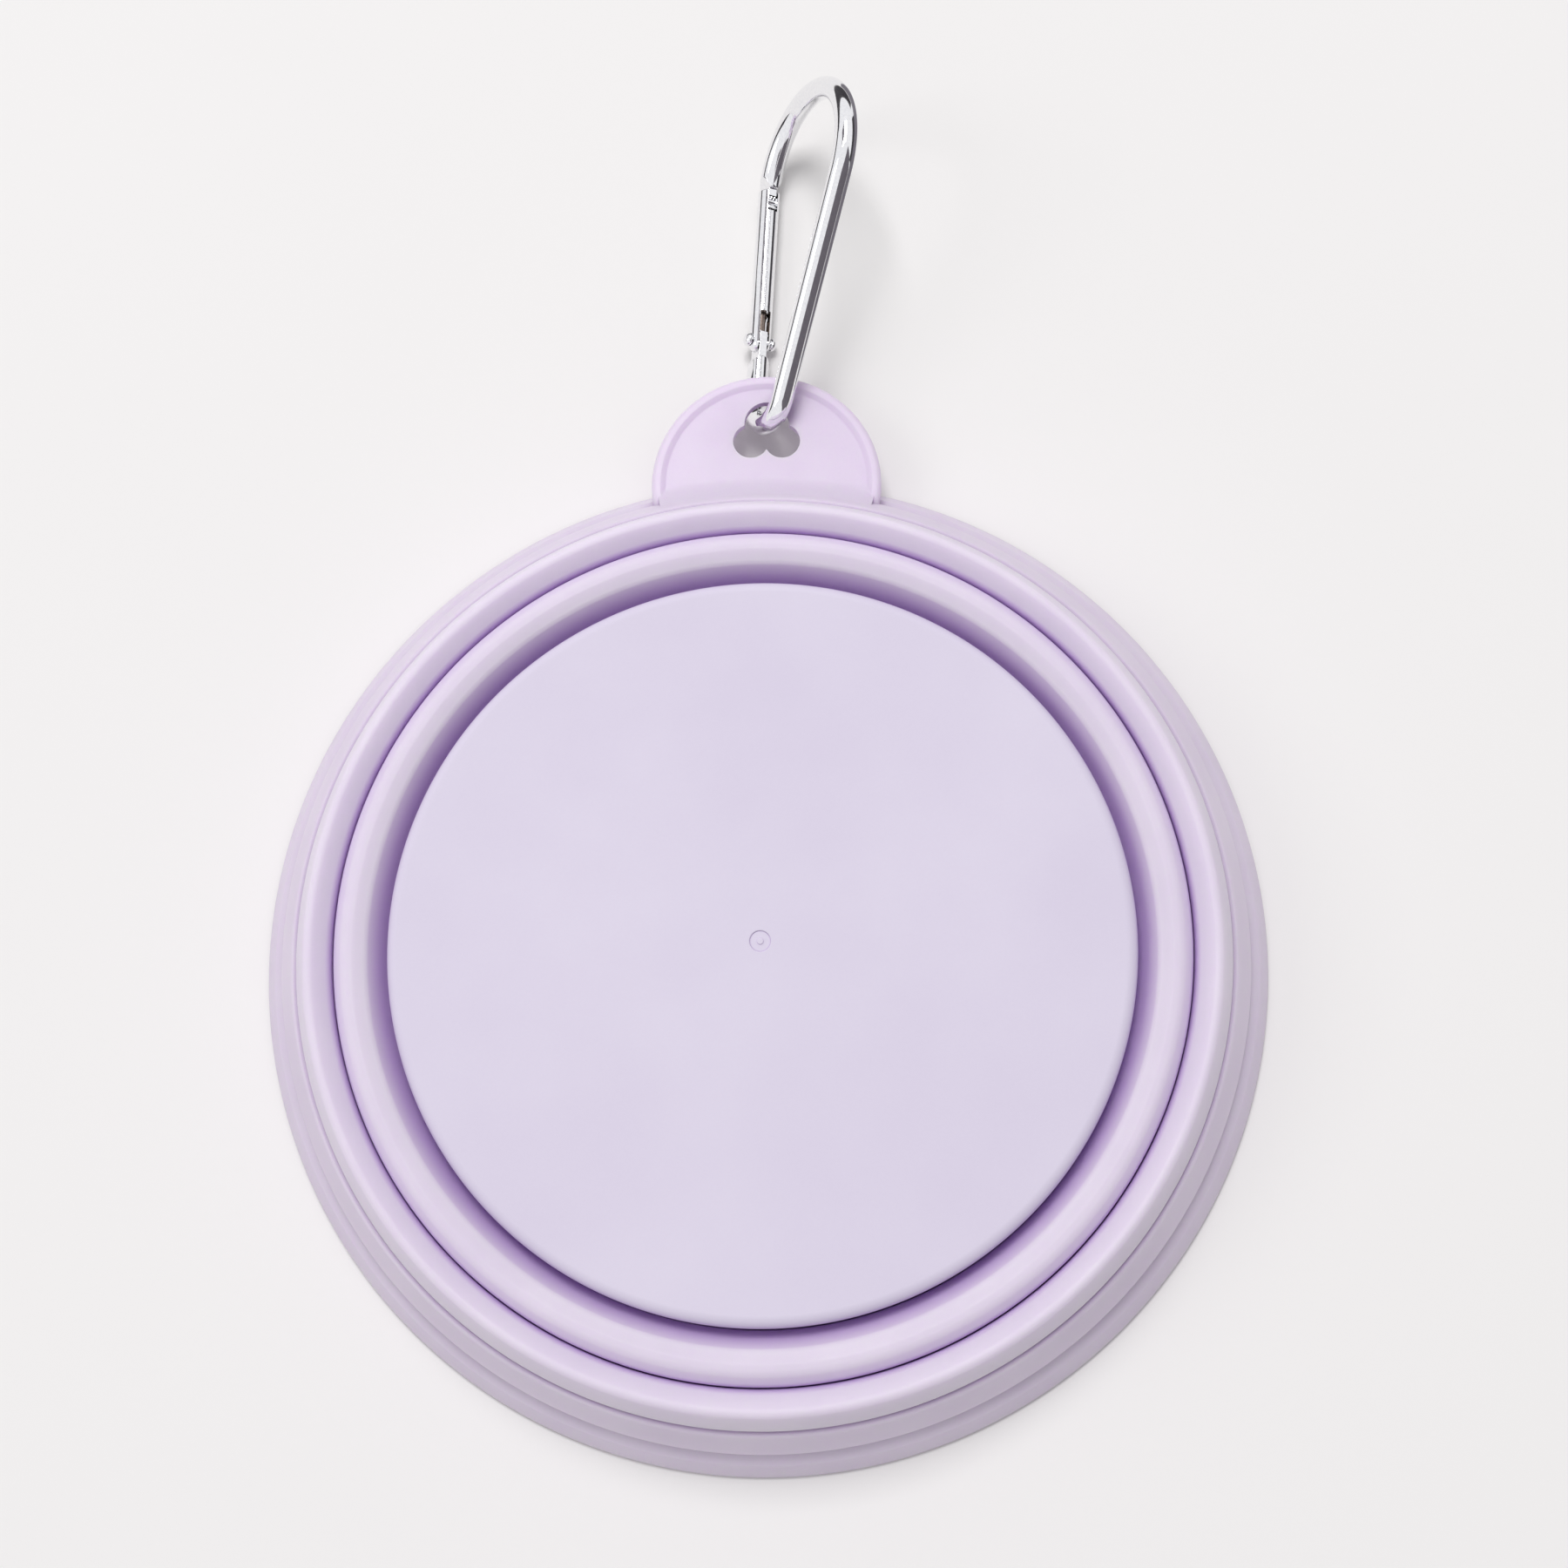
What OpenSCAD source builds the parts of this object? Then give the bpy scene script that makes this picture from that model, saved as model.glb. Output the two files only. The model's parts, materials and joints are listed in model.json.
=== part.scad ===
// Collapsible silicone bowl with a hanging tab and a snap hook.
// It lies folded flat and upside down: the rim rests on the table and the base faces up.
// Origin: centre of the rim's resting face. +Z points up, +Y towards the hanging tab.

/* [Rim ring] */
// Outer radius of the rim at the table, before its edge is rounded
rim_r = 65.4; // [63.4:0.5:67.4]
// Height of the hard rim ring
rim_h = 9.8; // [9:0.1:10.4]
// Wall of the rim ring, measured level
rim_wall = 2; // [1.6:0.1:2.2]
// Thickness of the inward foot of the rim ring
rim_foot_t = 1.8; // [1.4:0.1:2.4]
// Inner radius of the foot, measured in from the rim's outer radius
rim_foot_w = 6; // [5.4:0.1:6.6]
// Rounding of the rim's lower outer edge
rim_edge = 0.6; // [0.3:0.1:0.8]
// Rounding of the rim's top outer edge, one side of the seam
rim_top_edge = 0.4; // [0.1:0.1:0.6]
// Height of the decorative groove round the rim
groove_z = 5; // [4:0.1:6]
// Width of the groove
groove_w = 1.8; // [1.2:0.1:2.2]
// Depth of the groove
groove_depth = 0.6; // [0.3:0.1:0.8]
// Rounding of the groove's bottom and edges
groove_round = 0.3; // [0.1:0.05:0.4]

/* [Hanging tab] */
// Radius of the round tab
tab_r = 15.4; // [14:0.2:18]
// How far the tab's centre lies inside the rim's outer radius
tab_inset = 2.4; // [1.6:0.1:3]
// Thickness of the tab, whose edge is fully round
tab_t = 1.8; // [1.6:0.1:2]
// Height of the tab's middle above the table
tab_z = 5.5; // [5.4:0.1:6]
// Width of the tab's raised border, its round edge included
tab_border = 1.9; // [1.6:0.1:2.4]
// How far the tab's upper face lies below its border
tab_recess = 0.3; // [0.2:0.05:0.4]
// Radius of the fillet between the tab and the rim
tab_fillet = 4; // [2:0.5:5]
// Width of the bar left between the hole and the tab's tip
tab_bar = 3.8; // [3.5:0.1:4]
// Radius of the hole's upper lobe, which holds the hook
lobe_top_r = 3; // [2.8:0.1:3.2]
// Radius of the hole's two lower lobes
lobe_low_r = 2.4; // [2.2:0.1:2.6]
// Sideways place of the lower lobes
lobe_x = 2.1; // [1.9:0.1:2.3]
// How far the lower lobes lie below the upper one
lobe_drop = 2.5; // [2.2:0.1:2.8]

/* [Silicone wall] */
// Level width of the folded wall, from the base plate's edge to the rim's outer radius
wall_w = 18.6; // [17.6:0.2:20]
// Height of the two folded crests above the table
crest_h = 14.4; // [13.8:0.1:15.2]
// Thickness of the flexible fold webs
web_t = 0.9; // [0.7:0.05:1]
// Depth of each fold; a fold travels twice its depth when it pops out
fold_depth = 10; // [9:0.1:10.4]
// Wall of the stiff bands
band_t = 1.8; // [1.4:0.1:2.2]
// Height of the lip that joins a band to its web
lip_h = 1; // [0.8:0.1:1.2]
// Gap between the middle band and the web folded round it
fold_gap = 0.35; // [0.3:0.05:0.6]
// Level width of the outer crest's sloping inner flank
flank_w = 2.8; // [2.6:0.1:3.6]
// Drop of that flank from the crest to the fold
flank_drop = 1.6; // [1.2:0.1:2.2]
// Rounding of the two folds' upper edges
fold_round = 0.6; // [0.3:0.1:0.8]
// Rounding of the outer crest
outer_round = 1.5; // [1:0.1:2.2]
// How far the outer band stands out from its crest where it sits on the rim
shoulder_w = 2.4; // [2.2:0.05:2.8]
// Step from the rim's top edge in to the outer band
seam_step = 0.5; // [0.3:0.05:0.6]
// Rounding of the outer band's lower edge, the other side of the seam
band_edge = 0.35; // [0.2:0.05:0.5]
// Thickness of the flange bonded inside the rim ring
flange_t = 1.2; // [0.8:0.1:1.4]
// Level width of the middle crest
crest_w = 4.3; // [4.2:0.1:4.8]
// Rounding of the middle crest's outer shoulder
crest_round = 1.7; // [1:0.1:1.8]
// Level width of the middle crest's part that falls inwards
crown_w = 2.2; // [1.8:0.1:2.3]
// How far that part falls
crown_fall = 0.8; // [0.5:0.1:0.9]
// Rounding between that part and the level part
crown_round = 1.2; // [0.6:0.1:1.4]
// Rounding of the middle crest's inner edge
crest_edge = 0.4; // [0.2:0.05:0.5]
// Thickness of the middle crest
crest_t = 1.6; // [1.4:0.1:1.9]
// Drop of the middle crest's sloping inner flank to its fold
inner_drop = 3.2; // [2.6:0.1:3.6]
// Gap between the base plate's edge and the web folded round it
inner_gap = 0.4; // [0.3:0.05:0.6]
// Bond line between a silicone band and the hard piece it is moulded to
bond = 0.05; // [0.02:0.01:0.1]

/* [Base] */
// Height of the base plate's outer face above the table
base_h = 14; // [13.4:0.1:14.6]
// Thickness of the base plate
base_t = 2.4; // [2:0.1:2.8]
// Rounding of the base plate's edge
base_edge = 1.9; // [1:0.1:2]
// Gap from the base plate to the middle crest
moat_w = 2.6; // [2.4:0.1:3.2]
// Step from the base plate's edge in to the silicone skirt
skirt_step = 0.4; // [0.2:0.1:0.8]
// Height of the ring that locates the plate in the skirt
spigot_h = 1.2; // [0.8:0.1:2]
// Radius of the round moulding mark in the middle of the base
mark_r = 1.3; // [1:0.1:1.6]
// Depth of the moulding mark
mark_depth = 0.3; // [0.2:0.05:0.4]
// Radius of the sprue left in the moulding mark
sprue_r = 0.4; // [0.3:0.05:0.6]
// How far the sprue's top lies below the base's face
sprue_drop = 0.1; // [0.05:0.05:0.15]

/* [Snap hook] */
// Diameter of the hook's wire
wire_d = 3; // [2.8:0.1:3.1]
// Centre-line radius of the hook's lower bend
bend_r = 4.2; // [4.1:0.1:4.5]
// Angle between the spine and the gate
spine_angle = 25; // [22:1:28]
// Length of the straight spine
spine_l = 30.4; // [28:0.2:33]
// Height of the gate's pivot above the lower bend's centre
pivot_y = 9; // [8.6:0.1:9.6]
// Length of the gate from its pivot to its tip
gate_l = 22.4; // [21.6:0.1:23.2]
// Thickness of the flat tongues at the pivot and the nose
tongue_t = 1.2; // [1:0.05:1.4]
// How far the tongues' edges lie inside the wire
tongue_inset = 0.3; // [0.2:0.05:0.4]
// Height of the pivot tongue above the pivot
tongue_rise = 1.3; // [1.2:0.05:1.4]
// Length of the bevels where the wire is cut down to a tongue
tongue_taper = 1.2; // [0.8:0.1:1.4]
// Play on each side of a tongue in its slot
tongue_gap = 0.15; // [0.1:0.05:0.2]
// Length of the gate's lower slot above the pivot
slot_l = 4.2; // [3.8:0.1:5.4]
// Room below the gate's forked foot
fork_gap = 0.9; // [0.7:0.05:1]
// Gap between the gate's tip and the nose
nose_gap = 0.4; // [0.3:0.05:0.5]
// Depth of the slot in the gate's tip
notch_l = 3.2; // [2.8:0.1:3.8]
// Diameter of the pivot rivet
rivet_d = 1.4; // [1.2:0.05:1.5]
// Running clearance round the rivet in the gate
rivet_gap = 0.1; // [0.05:0.01:0.15]
// Diameter of the rivet's heads
rivet_head_d = 1.9; // [1.7:0.1:2]
// Height of the rivet's heads
rivet_head_h = 0.7; // [0.6:0.05:0.9]
// Rounding of the rivet's heads
rivet_head_round = 0.55; // [0.4:0.05:0.6]
// Diameter of the latch pin across the gate's tip
latch_d = 0.9; // [0.7:0.05:1]
// How far the latch pin lies towards the spine from the gate's middle
latch_x = 0.5; // [0.4:0.05:0.6]
// Play round the latch pin in the nose's hook
latch_gap = 0.3; // [0.2:0.05:0.35]
// Turn of the hook to the right, seen from above
hook_yaw = 3; // [2:0.5:4]
// Roll of the hook about its length, spine side up
hook_roll = 60; // [58:1:64]
// Sideways place of the lower bend in the tab's hole
hook_x = 0.4; // [0:0.1:0.6]
// Room between the lower bend and the tab's bar
hook_seat = 1.3; // [1.1:0.05:1.4]
// Height of the lower bend's centre above the tab's middle
hook_lift = 0.1; // [0:0.05:0.2]

/* [Gate spring] */
// Diameter of the bore that holds the spring and plunger
bore_d = 1.8; // [1.7:0.05:1.9]
// Diameter of the plunger's head in the bore
plunger_d = 1.6; // [1.4:0.05:1.65]
// Length of the plunger's head in the bore
plunger_head_l = 1; // [0.8:0.1:1.4]
// Diameter of the plunger's stem in the slot
stem_d = 1.2; // [1:0.05:1.25]
// Clearance from the plunger's stem to the pivot tongue
stem_gap = 0.12; // [0.1:0.01:0.2]
// Diameter of the spring's wire
spring_wire_d = 0.3; // [0.25:0.01:0.32]
// Number of curls in the spring
spring_curls = 7; // [5:1:8]
// Rise of the spring in one curl
spring_pitch = 0.84; // [0.76:0.01:0.9]
// Clearance from the spring to the bore's wall
spring_side_gap = 0.1; // [0.08:0.01:0.15]
// Clearance at each end of the spring
spring_end_gap = 0.03; // [0.02:0.01:0.05]

/* [Hidden] */
$fn = 96;

rim_colour = [0.83, 0.79, 0.88];
silicone_colour = [0.80, 0.75, 0.87];
base_colour = [0.86, 0.83, 0.91];
metal_colour = [0.78, 0.78, 0.80];
spring_colour = [0.45, 0.38, 0.34];

// Radii, from the base plate outwards
base_r = rim_r - wall_w;
skirt_out_r = base_r - skirt_step;
skirt_in_r = skirt_out_r - band_t;
middle_in_r = base_r + moat_w;
middle_out_r = middle_in_r + crest_w;
middle_wall_in_r = middle_out_r - band_t;
inner_web_in_r = base_r + inner_gap;
inner_web_out_r = inner_web_in_r + web_t;
web_in_r = middle_out_r + fold_gap;
web_out_r = web_in_r + web_t;
ridge_r = web_in_r + flank_w;
rim_top_r = ridge_r + shoulder_w + seam_step;
rim_slope = (rim_r - rim_top_r) / rim_h;

// Heights of the folds
outer_fold_z = crest_h - flank_drop;
outer_lip_z = outer_fold_z - fold_depth;
inner_top_z = crest_h - crest_t;
inner_fold_z = inner_top_z - inner_drop;
inner_lip_z = inner_top_z - fold_depth;
base_under_z = base_h - base_t;

// Places on the tab
tab_y = rim_r - tab_inset;
tab_face_z = tab_z + tab_t / 2 - tab_recess;
blend_sink = 0.03;
hole_top_y = tab_y + tab_r - tab_bar;
lobe_top_y = hole_top_y - lobe_top_r;

// Places on the snap hook, in its own plane: X from the gate to the spine, Y along its length
wire_r = wire_d / 2;
bend_thinning = 0.01;
wire_lap = 0.1;
spine_foot = [bend_r * cos(spine_angle), -bend_r * sin(spine_angle)];
spine_end = spine_foot + spine_l * [sin(spine_angle), cos(spine_angle)];
top_r = (spine_end[0] + bend_r) / (1 + cos(spine_angle));
top_centre = spine_end - top_r * [cos(spine_angle), -sin(spine_angle)];
gate_x = -bend_r;
gate_tip_y = pivot_y + gate_l;
nose_y = gate_tip_y + nose_gap;
nose_turn = asin(max(nose_y - top_centre[1], 0) / top_r);
bevel_lap = 0.05;
tongue_w = wire_d - 2 * tongue_inset;
stub_y = pivot_y - wire_r - fork_gap;
slot_w = tongue_t + 2 * tongue_gap;
slot_top_y = pivot_y + slot_l;
latch_y = gate_tip_y - notch_l / 2;
latch_l = 2 * sqrt(wire_r * wire_r - pow(latch_x + latch_d / 2, 2));
plunger_foot_y = pivot_y + tongue_rise + stem_gap;
plunger_top_y = slot_top_y + stem_gap + plunger_head_l;
spring_r = bore_d / 2 - spring_wire_d / 2 - spring_side_gap;
spring_foot_y = plunger_top_y + spring_wire_d / 2 + spring_end_gap;
spring_top_y = spring_foot_y + spring_curls * spring_pitch;
bore_top_y = spring_top_y + spring_wire_d / 2 + spring_end_gap;
curl_rings = 8;
tube_sides = 6;
cut = 1;

// Outer radius of the rim's sloping side at height z
function rim_side(z) = rim_r - rim_slope * z;

// A unit vector along v
function unit(v) = v / norm(v);

// Points of the arc that rounds corner b between its neighbours a and c to radius r
function corner_arc(a, b, c, r, steps = 5) =
    let (
        to_a = unit(a - b),
        to_c = unit(c - b),
        half = acos(to_a * to_c) / 2,
        centre = b + unit(to_a + to_c) * r / sin(half),
        start = b + to_a * r / tan(half) - centre,
        end = b + to_c * r / tan(half) - centre,
        turn = (start[0] * end[1] - start[1] * end[0] > 0 ? 1 : -1) * (180 - 2 * half)
    )
    [for (i = [0 : steps])
        let (t = turn * i / steps)
        centre + [start[0] * cos(t) - start[1] * sin(t), start[0] * sin(t) + start[1] * cos(t)]];

// An outline whose corners [x, y, radius] are rounded where the radius isn't zero
function rounded(corners) =
    let (n = len(corners))
    [for (i = [0 : n - 1])
        let (
            before = corners[(i + n - 1) % n],
            here = corners[i],
            after = corners[(i + 1) % n],
            a = [before[0], before[1]],
            b = [here[0], here[1]],
            c = [after[0], after[1]]
        )
        each here[2] > 0 ? corner_arc(a, b, c, here[2]) : [b]];

// A ring turned from an outline of [radius, height, rounding] corners
module turned(corners) {
    rotate_extrude()
        polygon(rounded(corners));
}

// Everything inside the middle of the rim's wall, to trim the tab
module rim_core() {
    rotate_extrude()
        polygon([
            [0, -cut],
            [rim_side(-cut) - rim_wall / 2, -cut],
            [rim_side(rim_h + cut) - rim_wall / 2, rim_h + cut],
            [0, rim_h + cut]
        ]);
}

// The concave blend from the tab's upper face to the rim's side
module tab_blend() {
    blend_z = tab_face_z - blend_sink;
    corner = [rim_side(blend_z), blend_z];
    up = unit([-rim_slope, 1]);
    reach = tab_fillet / tan(acos(up[0]) / 2);
    foot = corner + [reach, 0];
    head = corner + reach * up;
    intersection() {
        rotate_extrude()
            difference() {
                polygon([corner - [rim_wall / 2, tab_t / 2], foot - [0, tab_t / 2], foot, head]);
                translate(foot + [0, tab_fillet])
                    circle(tab_fillet);
            }
        translate([0, tab_y, 0])
            cylinder(r = tab_r - tab_t / 2, h = rim_h);
    }
}

// Round plate with a fully round edge, a raised border and the three-lobed hole for the hook
module tab() {
    difference() {
        union() {
            translate([0, tab_y, tab_z - tab_t / 2])
                cylinder(r = tab_r - tab_t / 2, h = tab_t);
            translate([0, tab_y, tab_z])
                rotate_extrude()
                    translate([tab_r - tab_t / 2, 0])
                        circle(tab_t / 2);
        }
        rim_core();
        translate([0, tab_y, tab_face_z])
            cylinder(r = tab_r - tab_border, h = tab_t);
        translate([0, lobe_top_y, 0])
            cylinder(r = lobe_top_r, h = rim_h);
        for (side = [-1, 1])
            translate([side * lobe_x, lobe_top_y - lobe_drop, 0])
                cylinder(r = lobe_low_r, h = rim_h);
    }
}

// Hard moulded ring with its sloping, grooved side, inward foot and hanging tab
module rim_ring() {
    color(rim_colour) {
        turned([
            [rim_r - rim_foot_w, 0, 0],
            [rim_r, 0, rim_edge],
            [rim_side(groove_z - groove_w / 2), groove_z - groove_w / 2, groove_round],
            [rim_side(groove_z) - groove_depth, groove_z, groove_round],
            [rim_side(groove_z + groove_w / 2), groove_z + groove_w / 2, groove_round],
            [rim_top_r, rim_h, rim_top_edge],
            [rim_top_r - rim_wall, rim_h, 0],
            [rim_side(rim_foot_t) - rim_wall, rim_foot_t, 0],
            [rim_r - rim_foot_w, rim_foot_t, 0]
        ]);
        tab();
        tab_blend();
    }
}

// Stiff outer band: its flange is bonded inside the rim ring and its round shoulder makes the crest
module outer_wall_band() {
    flange_foot_z = rim_foot_t + bond;
    flange_top_z = rim_h + bond;
    color(silicone_colour)
        turned([
            [ridge_r, crest_h, 0],
            [ridge_r + outer_round, crest_h, outer_round],
            [rim_top_r - seam_step, flange_top_z, band_edge],
            [rim_top_r - rim_wall - bond, flange_top_z, 0],
            [rim_side(flange_foot_z) - rim_wall - bond, flange_foot_z, 0],
            [rim_side(flange_foot_z) - rim_wall - flange_t, flange_foot_z, 0],
            [rim_top_r - rim_wall - flange_t, flange_top_z, 0],
            [ridge_r, crest_h - band_t, 0]
        ]);
}

// Thin web that turns down from the outer crest and folds round the middle band
module outer_fold_web() {
    color(silicone_colour)
        turned([
            [ridge_r, crest_h, 0],
            [web_in_r, outer_fold_z, fold_round],
            [web_in_r, outer_lip_z, 0],
            [web_out_r, outer_lip_z, 0],
            [web_out_r, outer_fold_z - web_t / 2, 0],
            [ridge_r, crest_h - web_t, 0]
        ]);
}

// Stiff middle band: a lip under the outer web, an upright wall and a round-shouldered crest
module middle_wall_band() {
    color(silicone_colour)
        turned([
            [middle_wall_in_r, outer_lip_z - lip_h, 0],
            [web_out_r, outer_lip_z - lip_h, 0],
            [web_out_r, outer_lip_z, 0],
            [middle_out_r, outer_lip_z, 0],
            [middle_out_r, crest_h, crest_round],
            [middle_in_r + crown_w, crest_h, crown_round],
            [middle_in_r, crest_h - crown_fall, crest_edge],
            [middle_in_r, inner_top_z, 0],
            [middle_wall_in_r, inner_top_z, 0]
        ]);
}

// Thin web that slopes down from the middle crest and folds round the base plate and its skirt
module inner_fold_web() {
    color(silicone_colour)
        turned([
            [middle_in_r, inner_top_z, 0],
            [inner_web_in_r, inner_fold_z, fold_round],
            [inner_web_in_r, inner_lip_z, 0],
            [inner_web_out_r, inner_lip_z, 0],
            [inner_web_out_r, inner_fold_z - web_t / 2, 0],
            [middle_in_r + web_t, inner_top_z, 0]
        ]);
}

// Stiff skirt under the base plate, with the lip that carries the inner web
module base_wall_band() {
    color(silicone_colour)
        turned([
            [skirt_in_r, inner_lip_z - lip_h, 0],
            [inner_web_out_r, inner_lip_z - lip_h, 0],
            [inner_web_out_r, inner_lip_z, 0],
            [skirt_out_r, inner_lip_z, 0],
            [skirt_out_r, base_under_z, 0],
            [skirt_in_r, base_under_z, 0]
        ]);
}

// Hard base plate with a round edge, a locating ring and the moulding mark in its middle
module base_plate() {
    color(base_colour) {
        difference() {
            rotate_extrude()
                union() {
                    translate([0, base_under_z])
                        square([base_r, base_t - base_edge]);
                    translate([0, base_under_z])
                        square([base_r - base_edge, base_t]);
                    translate([base_r - base_edge, base_h - base_edge])
                        intersection() {
                            circle(base_edge);
                            square(base_edge);
                        }
                }
            translate([0, 0, base_h - mark_depth])
                cylinder(r = mark_r, h = mark_depth + cut);
        }
        translate([0, 0, base_h - mark_depth])
            cylinder(r = sprue_r, h = mark_depth - sprue_drop);
        difference() {
            translate([0, 0, base_under_z - spigot_h])
                cylinder(r = skirt_in_r - bond, h = spigot_h);
            translate([0, 0, base_under_z - spigot_h - cut])
                cylinder(r = skirt_in_r - bond - band_t, h = spigot_h + cut);
        }
    }
}

// Puts the hook's own plane where the hook lies, with its lower bend through the tab's hole
module hook_place() {
    translate([hook_x, hole_top_y + bend_r - wire_r - hook_seat, tab_z + hook_lift])
        rotate([0, 0, -hook_yaw])
            rotate([0, -hook_roll, 0])
                children();
}

// A round bar of the hook's wire from a point, turned from +Y by an angle towards +X.
// Each end runs into its neighbour by the lap given for it.
module wire_bar(from, angle, length, laps = [0, 0]) {
    translate([from[0], from[1], 0])
        rotate([0, 0, -angle])
            rotate([-90, 0, 0])
                translate([0, 0, -laps[0]])
                    cylinder(r = wire_r, h = length + laps[0] + laps[1]);
}

// A bend of the hook's wire about a centre, from one angle through a sweep; bending thins it a hair
module wire_bend(centre, radius, from, sweep) {
    translate([centre[0], centre[1], 0])
        rotate([0, 0, from])
            rotate_extrude(angle = sweep)
                translate([radius, 0])
                    circle(wire_r - bend_thinning);
}

// A flat block of the tongues' thickness, from one corner to the other
module tongue_block(low, high) {
    translate([low[0], low[1], -tongue_t / 2])
        cube([high[0] - low[0], high[1] - low[1], tongue_t]);
}

// The two wedges that bevel the wire down to a tongue at height y; the wire goes on up or down from it
module tongue_bevels(y, up) {
    inner_z = tongue_t / 2 - bevel_lap;
    outer_z = 2 * wire_r - inner_z;
    for (side = [0, 1])
        mirror([0, 0, side])
            translate([gate_x - wire_d, y, 0])
                rotate([90, 0, 90])
                    linear_extrude(2 * wire_d)
                        polygon([
                            [-up * cut, inner_z],
                            [0, inner_z],
                            [up * 2 * tongue_taper, outer_z],
                            [-up * cut, outer_z]
                        ]);
}

// Bent wire body: lower bend, spine, wide top bend and nose, with the pivot tongue and the nose hook
module hook_body() {
    color(metal_colour)
        hook_place()
            difference() {
                union() {
                    wire_bend([0, 0], bend_r, 180, 180 - spine_angle);
                    wire_bar(spine_foot, spine_angle, spine_l, [wire_lap, wire_lap]);
                    difference() {
                        union() {
                            wire_bend(top_centre, top_r, -spine_angle, 180 + spine_angle - nose_turn);
                            if (nose_y < top_centre[1])
                                wire_bar([gate_x, nose_y], 0, top_centre[1] - nose_y, [0, wire_lap]);
                        }
                        tongue_bevels(nose_y, 1);
                    }
                    difference() {
                        wire_bar([gate_x, 0], 0, stub_y, [wire_lap, 0]);
                        tongue_bevels(stub_y, -1);
                    }
                    tongue_block(
                        [gate_x - tongue_w / 2, stub_y - cut / 2],
                        [gate_x + tongue_w / 2, pivot_y + tongue_rise]
                    );
                    tongue_block(
                        [gate_x - tongue_w / 2, gate_tip_y - notch_l + nose_gap],
                        [gate_x + tongue_w / 2, nose_y + cut / 2]
                    );
                }
                translate([gate_x, pivot_y, -wire_r])
                    cylinder(d = rivet_d, h = wire_d);
                translate([gate_x + latch_x, latch_y, -wire_r])
                    cylinder(d = latch_d + 2 * latch_gap, h = wire_d);
                translate([gate_x + latch_x, latch_y - latch_d / 2 - latch_gap, -wire_r])
                    cube([wire_d, latch_d + 2 * latch_gap, wire_d]);
            }
}

// Round gate with a forked foot, a slotted tip and the spring's bore along its middle
module hook_gate() {
    color(metal_colour)
        hook_place()
            difference() {
                union() {
                    wire_bar([gate_x, pivot_y], 0, gate_l);
                    intersection() {
                        wire_bar([gate_x, pivot_y - wire_r], 0, wire_d);
                        translate([gate_x, pivot_y, -wire_r])
                            cylinder(r = wire_r, h = wire_d);
                    }
                }
                translate([gate_x - wire_d, pivot_y - wire_d, -slot_w / 2])
                    cube([2 * wire_d, wire_d + slot_l, slot_w]);
                translate([gate_x - wire_d, gate_tip_y - notch_l, -slot_w / 2])
                    cube([2 * wire_d, notch_l + cut, slot_w]);
                translate([gate_x, slot_top_y - cut, 0])
                    rotate([-90, 0, 0])
                        cylinder(d = bore_d, h = bore_top_y - slot_top_y + cut);
                translate([gate_x, pivot_y, -wire_d])
                    cylinder(d = rivet_d + 2 * rivet_gap, h = 2 * wire_d);
                translate([gate_x + latch_x, latch_y, -wire_d])
                    cylinder(d = latch_d, h = 2 * wire_d);
            }
}

// Pivot rivet, tight in the body's tongue, with a round head on each side of the gate
module gate_rivet() {
    head_z = wire_r + rivet_gap;
    color(metal_colour)
        hook_place()
            translate([gate_x, pivot_y, 0]) {
                translate([0, 0, -head_z])
                    cylinder(d = rivet_d, h = 2 * head_z);
                for (side = [0, 1])
                    mirror([0, 0, side])
                        translate([0, 0, head_z])
                            turned([
                                [0, 0, 0],
                                [rivet_head_d / 2, 0, 0],
                                [rivet_head_d / 2, rivet_head_h, rivet_head_round],
                                [0, rivet_head_h, 0]
                            ]);
            }
}

// Pin across the slot in the gate's tip, which drops into the nose's hook
module gate_latch_pin() {
    color(metal_colour)
        hook_place()
            translate([gate_x + latch_x, latch_y, -latch_l / 2])
                cylinder(d = latch_d, h = latch_l);
}

// Stepped plunger that the spring presses against the flat end of the pivot tongue
module gate_plunger() {
    color(metal_colour)
        hook_place()
            translate([gate_x, 0, 0])
                rotate([-90, 0, 0]) {
                    translate([0, 0, plunger_foot_y])
                        cylinder(d = stem_d, h = plunger_top_y - plunger_foot_y);
                    translate([0, 0, plunger_top_y - plunger_head_l])
                        cylinder(d = plunger_d, h = plunger_head_l);
                }
}

// A point on the spring's centre line after a number of curls, in the spring's own axis
function spring_at(t) = [spring_r * cos(360 * t), spring_r * sin(360 * t), spring_pitch * t];

// The ring of points round the spring's wire at that place
function spring_ring(t) =
    let (
        along = unit([
            -2 * PI * spring_r * sin(360 * t),
            2 * PI * spring_r * cos(360 * t),
            spring_pitch
        ]),
        out = [cos(360 * t), sin(360 * t), 0],
        side = cross(along, out)
    )
    [for (i = [0 : tube_sides - 1])
        let (a = 360 * i / tube_sides)
        spring_at(t) + spring_wire_d / 2 * (cos(a) * out + sin(a) * side)];

spring_rings = spring_curls * curl_rings;
spring_line = [for (i = [0 : spring_rings]) spring_at(i / curl_rings)];
spring_gap = min([for (i = [0 : spring_rings - curl_rings / 2])
    for (j = [i + curl_rings / 2 : spring_rings])
        norm(spring_line[i] - spring_line[j])]) - spring_wire_d;
echo(least_gap_between_spring_curls = spring_gap);

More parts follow.
